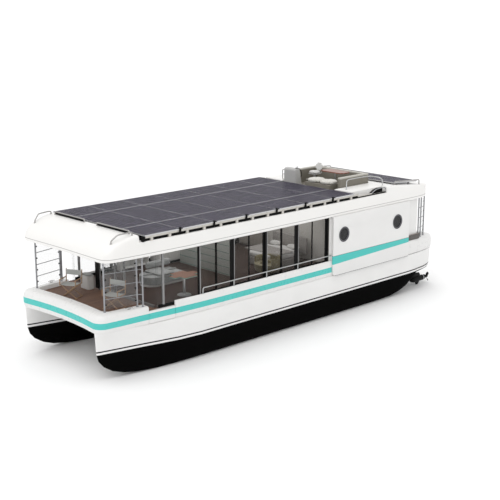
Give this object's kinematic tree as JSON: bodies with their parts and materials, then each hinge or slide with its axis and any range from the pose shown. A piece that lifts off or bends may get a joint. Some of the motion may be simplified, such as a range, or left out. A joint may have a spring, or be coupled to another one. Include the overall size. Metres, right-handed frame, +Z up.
{
  "type": "solar electric houseboat",
  "caption": "Twin-hull houseboat with a glazed cabin, a roof of solar panels, a small flybridge and steering drive pods under the stern.",
  "frame": {"origin": "middle of the footprint, at the keels", "axes": "+X to the bow, +Y to port, +Z up"},
  "size_m": [17, 5.17, 5.22],
  "materials": {
    "gelcoat": "gloss moulded",
    "roof_gelcoat": "satin moulded",
    "teak": "oiled planks",
    "dark_laminate": "satin",
    "solar_cell": "glossy laminate",
    "frame_aluminium": "anodised",
    "stainless": "polished tube",
    "dark_frame": "satin",
    "cabinet": "satin laminate",
    "seat_shell": "textured moulding",
    "cushion": "woven cover",
    "table_wood": "varnished",
    "pod_black": "matt",
    "canvas": "canvas"
  },
  "bodies": {
    "boat": {"aft_wall": "gelcoat", "array_rail_port": "frame_aluminium", "array_rail_starboard": "frame_aluminium", "bay_frame_port": "frame_aluminium", "bay_frame_starboard": "frame_aluminium", "bed": "cushion", "deck_chair_port": "canvas", "deck_chair_starboard": "canvas", "deck_locker": "cabinet", "deck_moulding": "gelcoat", "floor_aft": "teak", "floor_cabin": "dark_laminate", "floor_fore": "teak", "fly_coaming": "seat_shell", "fly_cushion": "cushion", "fly_rail": "stainless", "fly_table": "table_wood", "front_wall": "dark_frame", "galley_unit": "cabinet", "grab_rail_aft_port": "stainless", "grab_rail_aft_starboard": "stainless", "grab_rail_fore_port": "stainless", "grab_rail_fore_starboard": "stainless", "grab_rail_mid_port": "stainless", "grab_rail_mid_starboard": "stainless", "handrail_port": "stainless", "handrail_starboard": "stainless", "helm_console": "cabinet", "helm_seat": "cushion", "hull_port": "gelcoat", "hull_starboard": "gelcoat", "lounge_bench": "seat_shell", "mid_wall": "cabinet", "post_frame_aft_port": "frame_aluminium", "post_frame_aft_starboard": "frame_aluminium", "post_frame_fore_port": "frame_aluminium", "post_frame_fore_starboard": "frame_aluminium", "roof_shell": "roof_gelcoat", "saloon_table": "table_wood", "side_frame_port": "dark_frame", "side_frame_starboard": "dark_frame", "side_panel_port": "gelcoat", "side_panel_starboard": "gelcoat", "solar_aft": "solar_cell", "solar_middle": "solar_cell", "solar_port": "solar_cell", "solar_starboard": "solar_cell"},
    "gate_port": {"gate_port": "gelcoat"},
    "gate_starboard": {"gate_starboard": "gelcoat"},
    "leaf_port_1": {"leaf_port_1": "dark_frame"},
    "leaf_port_2": {"leaf_port_2": "dark_frame"},
    "leaf_starboard_1": {"leaf_starboard_1": "dark_frame"},
    "leaf_starboard_2": {"leaf_starboard_2": "dark_frame"},
    "front_door": {"front_door": "frame_aluminium"},
    "aft_door": {"aft_door": "gelcoat"},
    "steering_wheel": {"steering_wheel": "dark_frame"},
    "pod_port": {"pod_port": "pod_black"},
    "pod_starboard": {"pod_starboard": "pod_black"},
    "propeller_port": {"propeller_port": "pod_black"},
    "propeller_starboard": {"propeller_starboard": "pod_black"}
  },
  "joints": [
    {"name": "gate_port_hinge", "type": "hinge", "parent": "boat", "child": "gate_port", "pos_m": [6.15, 2.40231, 1.63], "axis": [-0.9974, 0.0723, 0], "range_deg": [0, 90]},
    {"name": "gate_starboard_hinge", "type": "hinge", "parent": "boat", "child": "gate_starboard", "pos_m": [6.15, -2.40231, 1.63], "axis": [0.9974, 0.0723, 0], "range_deg": [0, 90]},
    {"name": "leaf_port_1_slide", "type": "slide", "parent": "boat", "child": "leaf_port_1", "axis": [1, 0, 0], "range_m": [0, 0.66]},
    {"name": "leaf_port_2_slide", "type": "slide", "parent": "boat", "child": "leaf_port_2", "axis": [1, 0, 0], "range_m": [0, 0.66]},
    {"name": "leaf_starboard_1_slide", "type": "slide", "parent": "boat", "child": "leaf_starboard_1", "axis": [1, 0, 0], "range_m": [0, 0.66]},
    {"name": "leaf_starboard_2_slide", "type": "slide", "parent": "boat", "child": "leaf_starboard_2", "axis": [1, 0, 0], "range_m": [0, 0.66]},
    {"name": "front_door_slide", "type": "slide", "parent": "boat", "child": "front_door", "axis": [0, -1, 0], "range_m": [0, 1.36]},
    {"name": "aft_door_hinge", "type": "hinge", "parent": "boat", "child": "aft_door", "pos_m": [-7.05, 0.45, 3], "axis": [0, 0, -1], "range_deg": [0, 100]},
    {"name": "steering_wheel_turn", "type": "hinge", "parent": "boat", "child": "steering_wheel", "pos_m": [-3.49541, -0.86, 4.88495], "axis": [-0.9781, 0, 0.2079], "range_deg": [-450, 450]},
    {"name": "pod_port_steer", "type": "hinge", "parent": "boat", "child": "pod_port", "pos_m": [-7.62, 1.96, 0.25], "axis": [0, 0, 1], "range_deg": [-35, 35]},
    {"name": "propeller_port_spin", "type": "hinge", "parent": "pod_port", "child": "propeller_port", "pos_m": [-8.39, 1.96, 0.25], "axis": [-1, 0, 0], "continuous": true},
    {"name": "pod_starboard_steer", "type": "hinge", "parent": "boat", "child": "pod_starboard", "pos_m": [-7.62, -1.96, 0.25], "axis": [0, 0, 1], "range_deg": [-35, 35]},
    {"name": "propeller_starboard_spin", "type": "hinge", "parent": "pod_starboard", "child": "propeller_starboard", "pos_m": [-8.39, -1.96, 0.25], "axis": [-1, 0, 0], "continuous": true}
  ]
}
